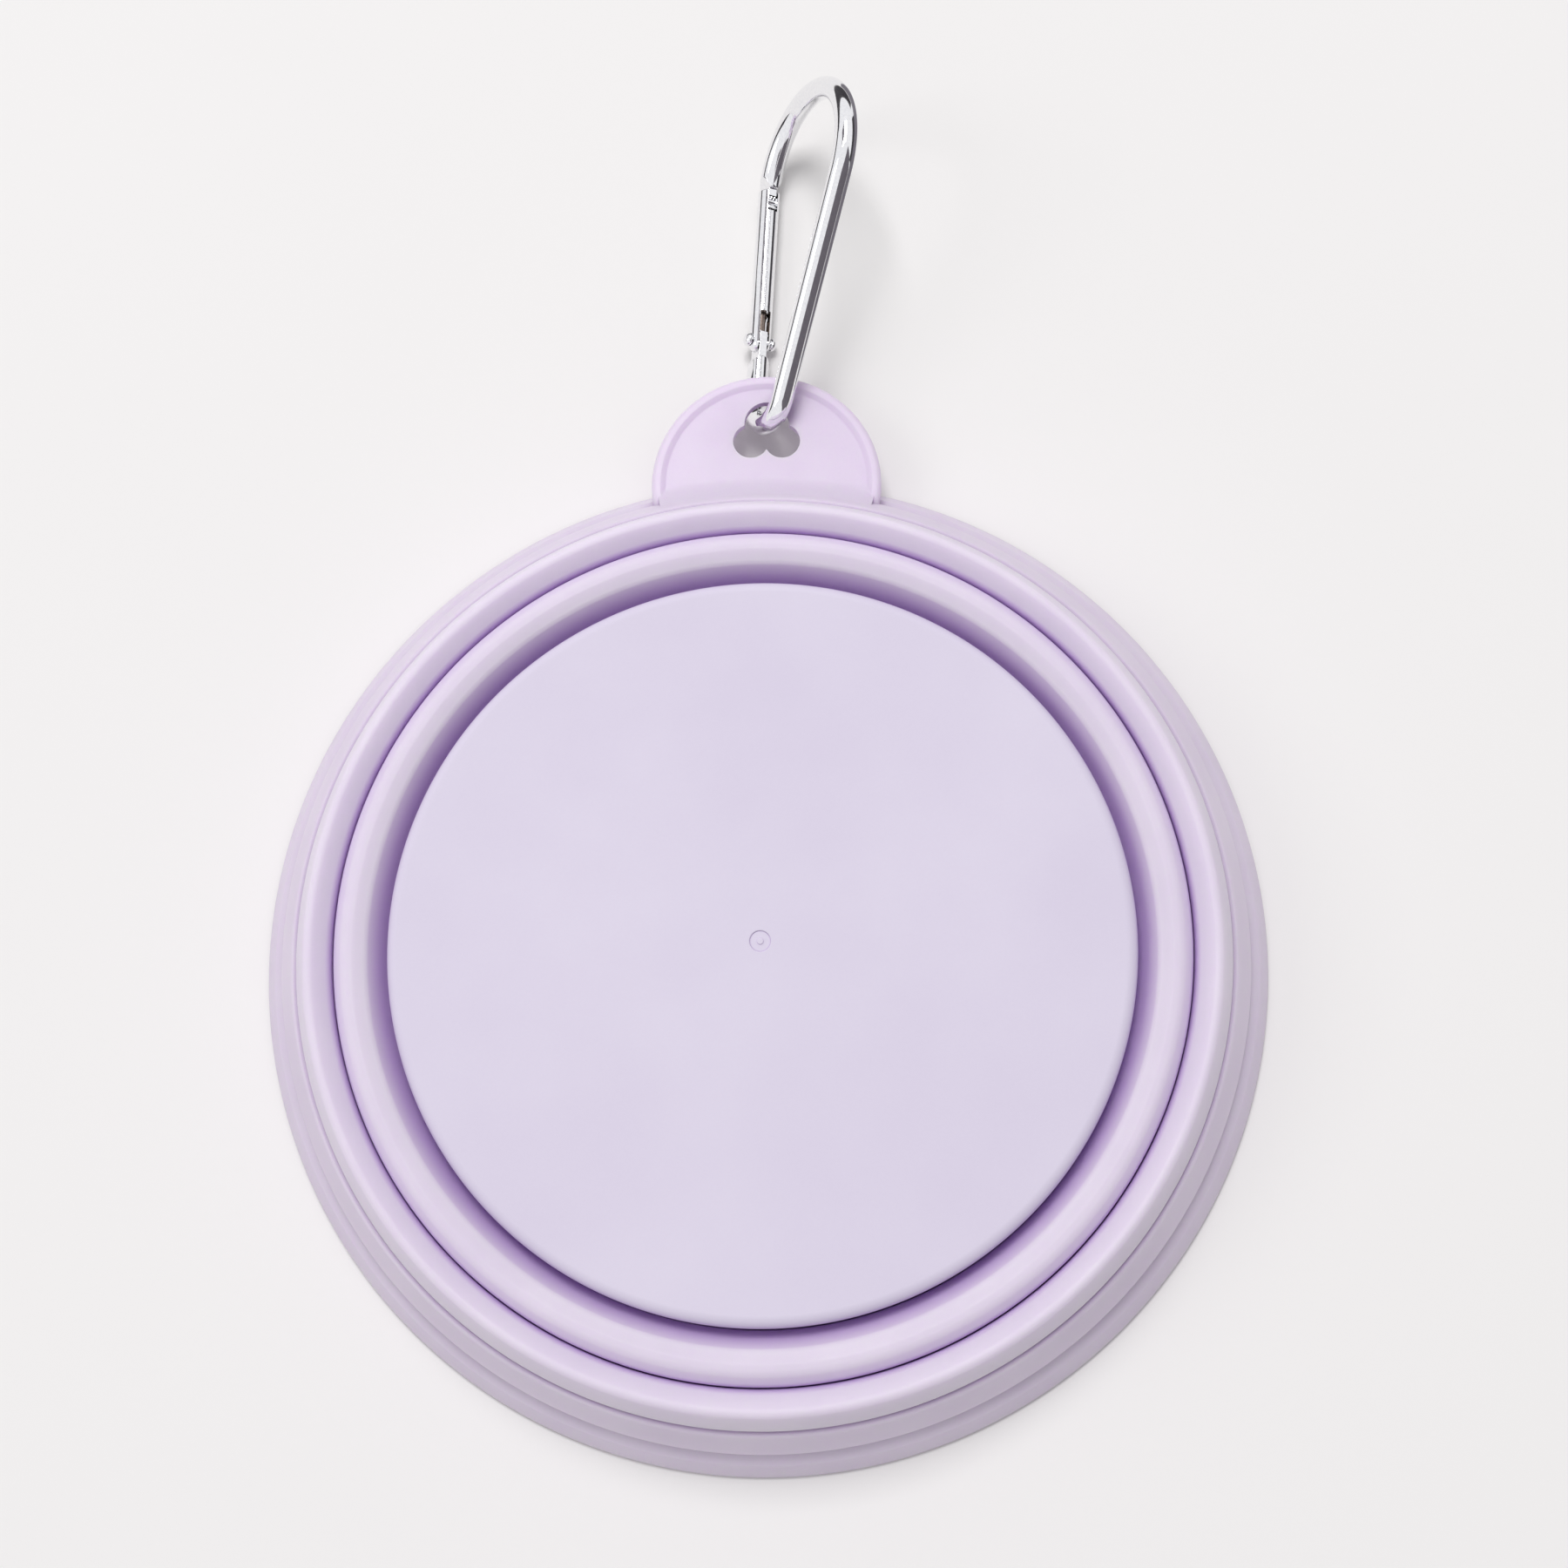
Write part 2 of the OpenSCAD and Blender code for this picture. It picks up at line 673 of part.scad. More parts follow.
// Compression spring in the gate's bore, one unbroken wire
module gate_spring() {
    points = [for (i = [0 : spring_rings]) each spring_ring(i / curl_rings)];
    last = spring_rings * tube_sides;
    faces = [
        for (k = [1 : tube_sides - 2]) [0, k, k + 1],
        for (k = [1 : tube_sides - 2]) [last, last + k + 1, last + k],
        for (i = [0 : spring_rings - 1])
            for (k = [0 : tube_sides - 1])
                let (
                    a = i * tube_sides + k,
                    b = i * tube_sides + (k + 1) % tube_sides
                )
                each [[a, a + tube_sides, b], [b, a + tube_sides, b + tube_sides]]
    ];
    color(spring_colour)
        hook_place()
            translate([gate_x, spring_foot_y, 0])
                rotate([-90, 0, 0])
                    polyhedron(points, faces);
}

rim_ring();
outer_wall_band();
outer_fold_web();
middle_wall_band();
inner_fold_web();
base_wall_band();
base_plate();
hook_body();
hook_gate();
gate_rivet();
gate_latch_pin();
gate_plunger();
gate_spring();
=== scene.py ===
import json
import math

import bmesh
import bpy
from mathutils import Matrix, Vector


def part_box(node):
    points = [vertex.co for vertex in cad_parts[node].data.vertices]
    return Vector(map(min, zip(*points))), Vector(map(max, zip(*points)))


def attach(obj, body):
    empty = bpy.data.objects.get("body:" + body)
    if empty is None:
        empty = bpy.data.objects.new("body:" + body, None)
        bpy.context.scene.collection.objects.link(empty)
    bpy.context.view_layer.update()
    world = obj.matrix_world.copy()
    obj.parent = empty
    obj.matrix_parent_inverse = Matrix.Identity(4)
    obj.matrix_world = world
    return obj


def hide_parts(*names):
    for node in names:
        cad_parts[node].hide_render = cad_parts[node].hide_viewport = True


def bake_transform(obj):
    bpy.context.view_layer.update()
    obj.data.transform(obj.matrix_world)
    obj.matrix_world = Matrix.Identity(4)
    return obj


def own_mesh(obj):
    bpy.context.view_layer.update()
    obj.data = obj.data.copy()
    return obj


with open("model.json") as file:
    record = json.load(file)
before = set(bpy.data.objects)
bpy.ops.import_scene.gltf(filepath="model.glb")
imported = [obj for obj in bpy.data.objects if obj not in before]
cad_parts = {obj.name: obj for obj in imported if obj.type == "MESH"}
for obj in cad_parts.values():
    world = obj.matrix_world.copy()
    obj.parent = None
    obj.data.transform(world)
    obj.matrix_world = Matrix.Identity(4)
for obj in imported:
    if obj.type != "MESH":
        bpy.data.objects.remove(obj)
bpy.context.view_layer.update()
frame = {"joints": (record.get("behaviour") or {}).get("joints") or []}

# Rim ring
# Hard injection-moulded plastic ring that the folded bowl lies on, with a soft groove round its sloping side.
# The hanging tab, its root fillet and its three-lobed hole are moulded in one piece with the ring.
mm = 0.001
ring_steps = 288
corner_steps = 6
weld = 0.0005 * mm
sharp_turn = math.radians(50)


def turned(corners, steps=ring_steps, first=0.0, sweep=math.tau):
    """A solid turned about Z from an outline of [radius, height, rounding] corners in millimetres."""
    bm = bmesh.new()
    points = [bm.verts.new((radius * mm, 0, height * mm)) for radius, height, rounding in corners]
    bm.faces.new(points)
    places = [Vector(corner[:2]) for corner in corners]
    for i, (radius, height, rounding) in enumerate(corners):
        if rounding:
            back = places[i - 1] - places[i]
            ahead = places[(i + 1) % len(places)] - places[i]
            bmesh.ops.bevel(
                bm, geom=[points[i]], affect="VERTICES", segments=corner_steps, profile=0.5, material=-1,
                offset=rounding * mm / math.tan(back.angle(ahead) / 2),
            )
    outline = bm.faces[:]
    if sweep == math.tau:
        bmesh.ops.delete(bm, geom=bm.faces[:], context="FACES_ONLY")
        on_axis = [edge for edge in bm.edges if all(vert.co.x < weld for vert in edge.verts)]
        bmesh.ops.delete(bm, geom=on_axis, context="EDGES")
        outline = []
    bmesh.ops.rotate(bm, verts=bm.verts[:], cent=(0, 0, 0), matrix=Matrix.Rotation(first, 3, "Z"))
    bmesh.ops.spin(
        bm, geom=bm.verts[:] + bm.edges[:] + outline, cent=(0, 0, 0), axis=(0, 0, 1), dvec=(0, 0, 0),
        angle=sweep, steps=steps, use_merge=sweep == math.tau,
    )
    return settled(bm)


def settled(bm):
    """The same bmesh with its doubles merged and its faces pointing outwards."""
    bmesh.ops.remove_doubles(bm, verts=bm.verts[:], dist=weld)
    bmesh.ops.recalc_face_normals(bm, faces=bm.faces[:])
    return bm


def moved(bm, x, y, z):
    """The same bmesh moved by millimetres."""
    bmesh.ops.translate(bm, verts=bm.verts[:], vec=(x * mm, y * mm, z * mm))
    return bm


def placed(name, bm):
    """A new object in the scene from a bmesh, which it uses up."""
    mesh = bpy.data.meshes.new(name)
    bm.to_mesh(mesh)
    bm.free()
    thing = bpy.data.objects.new(name, mesh)
    bpy.context.collection.objects.link(thing)
    return thing


def combined(solid, tool, operation):
    """One bmesh solid joined with, cut by or kept inside another."""
    holders = [placed("boolean_input", bm) for bm in (solid, tool)]
    modifier = holders[0].modifiers.new("Combine", "BOOLEAN")
    modifier.operation = operation
    modifier.solver = "EXACT"
    modifier.object = holders[1]
    result = bmesh.new()
    result.from_object(holders[0], bpy.context.evaluated_depsgraph_get())
    for holder in holders:
        bpy.data.meshes.remove(holder.data)
    return result


def shown(name, bm, material, slot, *nodes):
    """A finished piece from a bmesh, shaded evenly over its flats and arcs, standing for CAD nodes."""
    piece = placed(name, settled(bm))
    piece.data.shade_smooth()
    piece.data.set_sharp_from_angle(angle=sharp_turn)
    piece.data.materials.append(material)
    piece.modifiers.new("Even shading", "WEIGHTED_NORMAL").keep_sharp = True
    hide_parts(*nodes)
    return piece


def paint(red, green, blue):
    """A shader colour from screen values of 0 to 255."""
    return (*((value / 255 / 12.92 if value < 11 else ((value / 255 + 0.055) / 1.055) ** 2.4)
              for value in (red, green, blue)), 1)


def shader_group(name, inputs, outputs):
    """An empty shader node group with named number sockets, and its two end nodes."""
    group = bpy.data.node_groups.new(name, "ShaderNodeTree")
    for socket, value in inputs.items():
        group.interface.new_socket(socket, in_out="INPUT", socket_type="NodeSocketFloat").default_value = value
    for socket in outputs:
        group.interface.new_socket(socket, in_out="OUTPUT", socket_type="NodeSocketFloat")
    return group, group.nodes.new("NodeGroupInput"), group.nodes.new("NodeGroupOutput")


def new_material(name):
    """A new material with its node tree and its Principled shader."""
    material = bpy.data.materials.new(name)
    material.use_nodes = True
    return material, material.node_tree, material.node_tree.nodes["Principled BSDF"]


def object_place(tree):
    """The place on the piece that a texture reads."""
    return tree.nodes.new("ShaderNodeTexCoord").outputs["Object"]


def noise(tree, place, scale, detail):
    """A noise texture read at a place, with its scale per metre from a socket or a number."""
    node = tree.nodes.new("ShaderNodeTexNoise")
    node.inputs["Detail"].default_value = detail
    tree.links.new(place, node.inputs["Vector"])
    if isinstance(scale, bpy.types.NodeSocket):
        tree.links.new(scale, node.inputs["Scale"])
    else:
        node.inputs["Scale"].default_value = scale
    return node.outputs["Fac"]


def spread(tree, value, low, high, to_low=0, to_high=1):
    """A value mapped from one range to another and held inside it."""
    node = tree.nodes.new("ShaderNodeMapRange")
    for socket, number in zip(("From Min", "From Max", "To Min", "To Max"), (low, high, to_low, to_high)):
        node.inputs[socket].default_value = number
    tree.links.new(value, node.inputs["Value"])
    return node.outputs["Result"]


def two_tone(tree, factor, first, second):
    """A colour that a factor mixes from two; the first may come from another mix."""
    node = tree.nodes.new("ShaderNodeMix")
    node.data_type = "RGBA"
    tree.links.new(factor, node.inputs["Factor"])
    if isinstance(first, bpy.types.NodeSocket):
        tree.links.new(first, node.inputs["A"])
    else:
        node.inputs["A"].default_value = first
    node.inputs["B"].default_value = second
    return node.outputs["Result"]


def grained(tree, shader, height, strength, depth):
    """Raises a shader's surface by a height of at most a depth in millimetres."""
    bump = tree.nodes.new("ShaderNodeBump")
    bump.inputs["Strength"].default_value = strength
    bump.inputs["Distance"].default_value = depth * mm
    tree.links.new(height, bump.inputs["Height"])
    tree.links.new(bump.outputs["Normal"], shader.inputs["Normal"])


moulded, moulded_in, moulded_out = shader_group(
    "moulded_surface", {"Grain": 3000, "Cloud": 60}, ("Tone", "Dull", "Relief"))
moulded_place = object_place(moulded)
moulded_grain = noise(moulded, moulded_place, moulded_in.outputs["Grain"], detail=3)
moulded_cloud = noise(moulded, moulded_place, moulded_in.outputs["Cloud"], detail=4)
grain_share = 0.3
moulded_mix = moulded.nodes.new("ShaderNodeMath")
moulded_mix.operation = "MULTIPLY_ADD"
moulded_mix.inputs[1].default_value = grain_share
moulded.links.new(moulded_grain, moulded_mix.inputs[0])
moulded.links.new(moulded_cloud, moulded_mix.inputs[2])
moulded.links.new(spread(moulded, moulded_mix.outputs[0], low=0.4, high=0.9), moulded_out.inputs["Tone"])
moulded.links.new(spread(moulded, moulded_cloud, low=0.3, high=0.7), moulded_out.inputs["Dull"])
moulded.links.new(moulded_grain, moulded_out.inputs["Relief"])


def moulded_material(name, pale, deep, fold_shade, reach, glossy, dull, grain, cloud, relief):
    """A moulded plastic or silicone: two close tones, a painted shade of a richer tone in its folds and grooves,
    uneven gloss and a fine grain.
    """
    material, tree, shader = new_material(name)
    surface = tree.nodes.new("ShaderNodeGroup")
    surface.node_tree = moulded
    surface.inputs["Grain"].default_value = grain
    surface.inputs["Cloud"].default_value = cloud
    tone = two_tone(tree, surface.outputs["Tone"], pale, deep)
    # Painted shade: where ambient occlusion finds other surfaces within the reach, the colour is mixed towards the
    # darker fold tone.
    open_sky = tree.nodes.new("ShaderNodeAmbientOcclusion")
    open_sky.samples = 8
    open_sky.inputs["Distance"].default_value = reach * mm
    fold_shade_share = spread(tree, open_sky.outputs["AO"], low=0.3, high=0.9, to_low=1, to_high=0)
    tree.links.new(two_tone(tree, fold_shade_share, tone, fold_shade), shader.inputs["Base Color"])
    gloss = spread(tree, surface.outputs["Dull"], low=0, high=1, to_low=glossy, to_high=dull)
    tree.links.new(gloss, shader.inputs["Roughness"])
    grained(tree, shader, surface.outputs["Relief"], relief, depth=0.02)
    return material


def let_light_in(material, weight, radii, depth):
    """Lets light spread under a material's surface to a depth in millimetres, shared out by colour."""
    inputs = material.node_tree.nodes["Principled BSDF"].inputs
    inputs["Subsurface Weight"].default_value = weight
    inputs["Subsurface Radius"].default_value = radii
    inputs["Subsurface Scale"].default_value = depth * mm


# Its third, darker colour is painted shade for its groove, seam and hollows.
rim_plastic = moulded_material(
    "rim_plastic", pale=paint(225, 213, 232), deep=paint(219, 206, 227), fold_shade=paint(158, 132, 170), reach=2.5,
    glossy=0.42, dull=0.52, grain=4200, cloud=70, relief=0.25)
let_light_in(rim_plastic, weight=0.6, radii=(1, 0.7, 1.1), depth=2.6)

rim_foot_r = 65.4
rim_foot_in_r = 59.4
rim_foot_t = 1.8
rim_foot_edge = 0.6
rim_inner_edge = 0.2
rim_top_r = 59.75
rim_wall = 2
rim_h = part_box("rim_ring")[1].z / mm
groove_z = 4.6
groove_half = 1.3
groove_depth = 1
groove_round = 0.7
seam_w = 0.45
seam_round = 0.6


def rim_side(height):
    """Outer radius of the rim's sloping side."""
    return rim_foot_r + (rim_top_r - rim_foot_r) * height / rim_h


ring = turned([
    [rim_foot_in_r, 0, rim_inner_edge],
    [rim_foot_r, 0, rim_foot_edge],
    [rim_side(groove_z - groove_half), groove_z - groove_half, groove_round],
    [rim_side(groove_z) - groove_depth, groove_z, groove_round],
    [rim_side(groove_z + groove_half), groove_z + groove_half, groove_round],
    [rim_top_r, rim_h, seam_round],
    [rim_top_r - rim_wall, rim_h, 0],
    [rim_side(rim_foot_t) - rim_wall, rim_foot_t, 0],
    [rim_foot_in_r, rim_foot_t, rim_inner_edge],
])

tab_r = 15.4
tab_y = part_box("rim_ring")[1].y / mm - tab_r
tab_z = 5.5
tab_half = 0.9
tab_edge = 0.7
tab_border = 1.9
tab_bead = 0.3
bead_slope = 0.7
bead_round = 0.5
tab_steps = 192
tab = moved(turned([
    [0, -tab_half, 0],
    [tab_r, -tab_half, tab_edge],
    [tab_r, tab_half, tab_edge],
    [tab_r - tab_border + bead_slope, tab_half, bead_round],
    [tab_r - tab_border, tab_half - tab_bead, bead_round],
    [0, tab_half - tab_bead, 0],
], tab_steps), 0, tab_y, tab_z)
rim_middle = rim_wall / 2
over = 1
bowl_inside = turned([
    [0, -over, 0],
    [rim_side(-over) - rim_middle, -over, 0],
    [rim_side(rim_h + over) - rim_middle, rim_h + over, 0],
    [0, rim_h + over, 0],
])
tab = combined(tab, bowl_inside, "DIFFERENCE")

fillet_r = 4
fillet_sink = 0.01
fillet_spread = math.radians(36)
fillet_steps = 40
tab_face_z = tab_z + tab_half - tab_bead
root = Vector((rim_side(tab_face_z), tab_face_z)) - Vector((fillet_sink, fillet_sink))
rim_up = Vector((rim_top_r - rim_foot_r, rim_h)).normalized()
fillet_reach = fillet_r / math.tan(rim_up.angle(Vector((1, 0))) / 2) + fillet_sink
fillet = turned([
    [root.x - rim_middle, root.y - tab_half, 0],
    [root.x + fillet_reach, root.y - tab_half, 0],
    [root.x + fillet_reach, root.y, 0],
    [root.x, root.y, fillet_r],
    [root.x + fillet_reach * rim_up.x, root.y + fillet_reach * rim_up.y, 0],
], fillet_steps, (math.pi - fillet_spread) / 2, fillet_spread)
fillet_edge = 0.9
tab_plan = moved(turned([
    [0, tab_z, 0],
    [tab_r - fillet_edge, tab_z, 0],
    [tab_r - fillet_edge, rim_h, 0],
    [0, rim_h, 0],
], tab_steps), 0, tab_y, 0)
fillet = combined(fillet, tab_plan, "INTERSECT")

lobe_edge = 0.25
lobe_round = lobe_edge * 0.98
lobe_steps = 96


def lobe(radius, x, y):
    """A cutter for one lobe of the tab's hole, flared so that it leaves round edges."""
    wide = radius + lobe_edge
    return moved(turned([
        [0, -over, 0],
        [wide, -over, 0],
        [wide, -tab_half, 0],
        [radius, -tab_half, lobe_round],
        [radius, tab_half, lobe_round],
        [wide, tab_half, 0],
        [wide, over, 0],
        [0, over, 0],
    ], lobe_steps), x, y, tab_z)


tab_bar = 3.8
lobe_top_r = 3
lobe_low_r = 2.4
lobe_x = 2.1
lobe_drop = 2.5
lobe_top_y = tab_y + tab_r - tab_bar - lobe_top_r
tab = combined(tab, fillet, "UNION")
for lobe_r, x, y in (
    (lobe_top_r, 0, lobe_top_y),
    (lobe_low_r, -lobe_x, lobe_top_y - lobe_drop),
    (lobe_low_r, lobe_x, lobe_top_y - lobe_drop),
):
    tab = combined(tab, lobe(lobe_r, x, y), "DIFFERENCE")
rim_piece = shown("rim_ring_moulding", combined(ring, tab, "UNION"), rim_plastic, "rim_plastic", "rim_ring")
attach(rim_piece, "rim")

# Outer wall band
# Stiff silicone band whose flange is bonded inside the rim ring; its round shoulder makes the outer crest.
# Its sloping inner flank runs down to the fold, where the thin outer web goes on from it in one moulding.
# Its third, darker colour is painted shade for the grooves between the bands and the moat.
silicone = moulded_material(
    "silicone", pale=paint(232, 220, 241), deep=paint(227, 215, 237), fold_shade=paint(206, 178, 229), reach=5,
    glossy=0.55, dull=0.65, grain=5200, cloud=90, relief=0.3)
silicone_weight = 0.9
silicone_radii = (1, 0.86, 1.05)
let_light_in(silicone, silicone_weight, silicone_radii, depth=2.6)

bond = 0.05
band_t = 1.8
flange_t = 1.2
crest_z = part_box("outer_fold_web")[1].z / mm
ridge_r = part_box("outer_fold_web")[1].x / mm
ridge_out = 0.15
ridge_up = 0.4
ridge_round = 0.9
shoulder_r = rim_top_r - seam_w
flange_foot_z = rim_foot_t + bond
flange_top_z = rim_h + bond
web_t = 0.9
web_in_r = 53.97
web_out_r = web_in_r + web_t
web_lap = 1.2
outer_drop = 1.6
outer_fold_z = crest_z - outer_drop
outer_fold_round = 1.5
outer_web_z = outer_fold_z - web_lap
under_round = 0.4
outer_band = shown("outer_wall_band_silicone", turned([
    [web_in_r, outer_web_z, 0],
    [web_in_r, outer_fold_z, outer_fold_round],
    [ridge_r + ridge_out, crest_z + ridge_up, ridge_round],
    [shoulder_r, flange_top_z, seam_round],
    [rim_top_r - rim_wall - bond, flange_top_z, 0],
    [rim_side(flange_foot_z) - rim_wall - bond, flange_foot_z, 0],
    [rim_side(flange_foot_z) - rim_wall - flange_t, flange_foot_z, 0],
    [rim_top_r - rim_wall - flange_t, flange_top_z, 0],
    [ridge_r, crest_z - band_t, 0],
    [web_out_r, outer_fold_z - web_t / 2, under_round],
    [web_out_r, outer_web_z, 0],
]), silicone, "silicone", "outer_wall_band")
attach(outer_band, "rim")

# Outer fold web
# Thin flexible silicone that runs down from the outer crest's flank and folds round the middle band.
# It turns over when the bowl pops open.
# Light spreads less deep in it than in the thick bands, so that the opened web doesn't turn grey.
web_silicone = silicone.copy()
web_silicone.name = "web_silicone"
let_light_in(web_silicone, silicone_weight, silicone_radii, depth=0.9)

outer_lip_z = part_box("outer_fold_web")[0].z / mm
web_loops = 24


def looped(bm, loops, low, high):
    """The same bmesh cut level into loops between two heights, so that it can bend."""
    for i in range(1, loops):
        height = (low + (high - low) * i / loops) * mm
        bmesh.ops.bisect_plane(
            bm, geom=bm.verts[:] + bm.edges[:] + bm.faces[:], plane_co=(0, 0, height), plane_no=(0, 0, 1))
    return bm


outer_web = shown("outer_fold_web_silicone", looped(turned([
    [web_in_r, outer_web_z, 0],
    [web_in_r, outer_lip_z, 0],
    [web_out_r, outer_lip_z, 0],
    [web_out_r, outer_web_z, 0],
]), web_loops, outer_lip_z, outer_web_z), web_silicone, "silicone", "outer_fold_web")
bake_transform(outer_web)

# Middle wall band
# Stiff silicone band between the two folds: a round outer shoulder, a crest that falls inwards and a steep flank.
# Its low lip is hidden in the outer fold and carries that fold's web.
middle_out_r = 53.8
middle_in_r = 49.4
crown_w = 1.7
crown_r = middle_in_r + crown_w
crown_fall = 0.6
crown_round = 0.9
shoulder_fall = 1.5
shoulder_round = 1.6
shoulder_top_round = 1.4
base_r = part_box("base_plate")[1].x / mm
inner_gap = 0.35
inner_web_in_r = base_r + inner_gap
inner_web_out_r = inner_web_in_r + web_t
middle_wall_in_r = middle_out_r - band_t
lip_h = 1
lip_inset = 0.5
lip_round = 0.2
inner_top_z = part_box("inner_fold_web")[1].z / mm
inner_drop = 3.2
inner_fold_z = inner_top_z - inner_drop
inner_fold_round = 0.6
inner_web_z = inner_fold_z - web_lap
flank_round = 1.1
wall_top_round = 0.3
middle_band = shown("middle_wall_band_silicone", turned([
    [middle_wall_in_r, outer_lip_z - lip_h, lip_round],
    [web_out_r - lip_inset, outer_lip_z - lip_h, lip_round],
    [web_out_r - lip_inset, outer_lip_z, 0],
    [middle_out_r, outer_lip_z, 0],
    [middle_out_r, crest_z - shoulder_fall, shoulder_round],
    [middle_out_r - shoulder_fall, crest_z, shoulder_top_round],
    [crown_r, crest_z, crown_round],
    [middle_in_r, crest_z - crown_fall, flank_round],
    [inner_web_in_r, inner_fold_z, inner_fold_round],
    [inner_web_in_r, inner_web_z, 0],
    [inner_web_out_r, inner_web_z, 0],
    [inner_web_out_r, inner_fold_z - web_t / 2, under_round],
    [middle_in_r + web_t, inner_top_z, under_round],
    [middle_wall_in_r, inner_top_z, wall_top_round],
]), silicone, "silicone", "middle_wall_band")
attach(middle_band, "middle")

# Inner fold web
# Thin flexible silicone that runs down from the middle band's flank and folds round the base plate's skirt.
# It turns over like the outer web when the bowl pops open.
inner_lip_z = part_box("inner_fold_web")[0].z / mm
inner_web = shown("inner_fold_web_silicone", looped(turned([
    [inner_web_in_r, inner_web_z, 0],
    [inner_web_in_r, inner_lip_z, 0],
    [inner_web_out_r, inner_lip_z, 0],
    [inner_web_out_r, inner_web_z, 0],
]), web_loops, inner_lip_z, inner_web_z), web_silicone, "silicone", "inner_fold_web")
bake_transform(inner_web)

# Base wall band
# Stiff silicone skirt that hangs under the hard base plate and is bonded round its locating ring.
# Its low lip is hidden in the inner fold and carries that fold's web.
base_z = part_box("base_plate")[1].z / mm
base_t = 2.4
base_under_z = base_z - base_t
skirt_inset = 0.4
skirt_out_r = base_r - skirt_inset
skirt_in_r = skirt_out_r - band_t
skirt_edge = 0.3
base_band = shown("base_wall_band_silicone", turned([
    [skirt_in_r, inner_lip_z - lip_h, lip_round],
    [inner_web_out_r - lip_inset, inner_lip_z - lip_h, lip_round],
    [inner_web_out_r - lip_inset, inner_lip_z, 0],
    [skirt_out_r, inner_lip_z, skirt_edge],
    [skirt_out_r, base_under_z, 0],
    [skirt_in_r, base_under_z, 0],
]), silicone, "silicone", "base_wall_band")
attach(base_band, "base")

# Base plate
# Hard plastic disc with a round edge, the foot of the opened bowl, with a locating ring underneath.
# A shallow round mark with the stub of the sprue is left in its middle from moulding.
# Its third, darker colour is painted shade round its edge, where it meets the moat.
base_plastic = moulded_material(
    "base_plastic", pale=paint(226, 218, 236), deep=paint(221, 212, 232), fold_shade=paint(196, 176, 214), reach=3,
    glossy=0.6, dull=0.68, grain=3600, cloud=45, relief=0.22)
plate_over = 0.15
plate_r = base_r + plate_over
plate_round = 1.5
plate_edge = 0.15
spigot_out_r = skirt_in_r - bond
spigot_in_r = spigot_out_r - band_t
spigot_foot_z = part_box("base_plate")[0].z / mm
mark_r = 1.3
mark_depth = 0.18
mark_z = base_z - mark_depth
mark_foot_round = 0.12
sprue_r = 0.4
sprue_drop = 0.04
sprue_z = base_z - sprue_drop
sprue_round = 0.06
plate = shown("base_plate_disc", turned([
    [0, base_under_z, 0],
    [spigot_in_r, base_under_z, 0],
    [spigot_in_r, spigot_foot_z, plate_edge],
    [spigot_out_r, spigot_foot_z, plate_edge],
    [spigot_out_r, base_under_z, 0],
    [plate_r, base_under_z, plate_edge],
    [plate_r, base_z, plate_round],
    [mark_r, base_z, plate_edge],
    [mark_r, mark_z, mark_foot_round],
    [sprue_r, mark_z, sprue_round],
    [sprue_r, sprue_z, sprue_round],
    [0, sprue_z, 0],
]), base_plastic, "base_plastic", "base_plate")
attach(plate, "base")

# Hook body
# Round plated steel wire bent into a pear shape: a tight lower bend in the tab's hole, a straight spine,
# a wide top bend and a short nose, with flat tongues cut at both ends for the gate.
joints = {joint["name"]: joint for joint in frame["joints"]}
hook_length = Vector(joints["plunger_slide"]["axis"]).normalized()
hook_normal = Vector(joints["hook_swing"]["axis"]).normalized()
hook_across = hook_normal.cross(hook_length)
hook_place = Matrix((hook_across, hook_length, -hook_normal)).transposed().to_4x4()
hook_place.translation = Vector(joints["hook_swing"]["pos_m"])

plated, plated_in, plated_out = shader_group(
    "plated_polish", {"Smudge": 220, "Scratch": 2600}, ("Haze", "Film", "Relief"))
plated_place = object_place(plated)
plated_smudge = noise(plated, plated_place, plated_in.outputs["Smudge"], detail=4)
plated_scratch = noise(plated, plated_place, plated_in.outputs["Scratch"], detail=2)
plated.links.new(spread(plated, plated_smudge, low=0.35, high=0.7), plated_out.inputs["Haze"])
plated.links.new(spread(plated, plated_scratch, low=0.3, high=0.75), plated_out.inputs["Film"])
plated.links.new(plated_scratch, plated_out.inputs["Relief"])


def plated_material(name, clean, stained, polished, hazed, smudge, scratch, relief):
    """A plated or drawn metal with a thin film, hazy smudges and fine scratches."""
    material, tree, shader = new_material(name)
    shader.inputs["Metallic"].default_value = 1
    surface = tree.nodes.new("ShaderNodeGroup")
    surface.node_tree = plated
    surface.inputs["Smudge"].default_value = smudge
    surface.inputs["Scratch"].default_value = scratch
    film = two_tone(tree, surface.outputs["Film"], clean, stained)
    tree.links.new(film, shader.inputs["Base Color"])
    polish = spread(tree, surface.outputs["Haze"], low=0, high=1, to_low=polished, to_high=hazed)
    tree.links.new(polish, shader.inputs["Roughness"])
    grained(tree, shader, surface.outputs["Relief"], relief, depth=0.01)
    return material


hook_metal = plated_material(
    "hook_metal", clean=paint(246, 246, 247), stained=paint(236, 236, 239), polished=0.05, hazed=0.11,
    smudge=260, scratch=3200, relief=0.08)

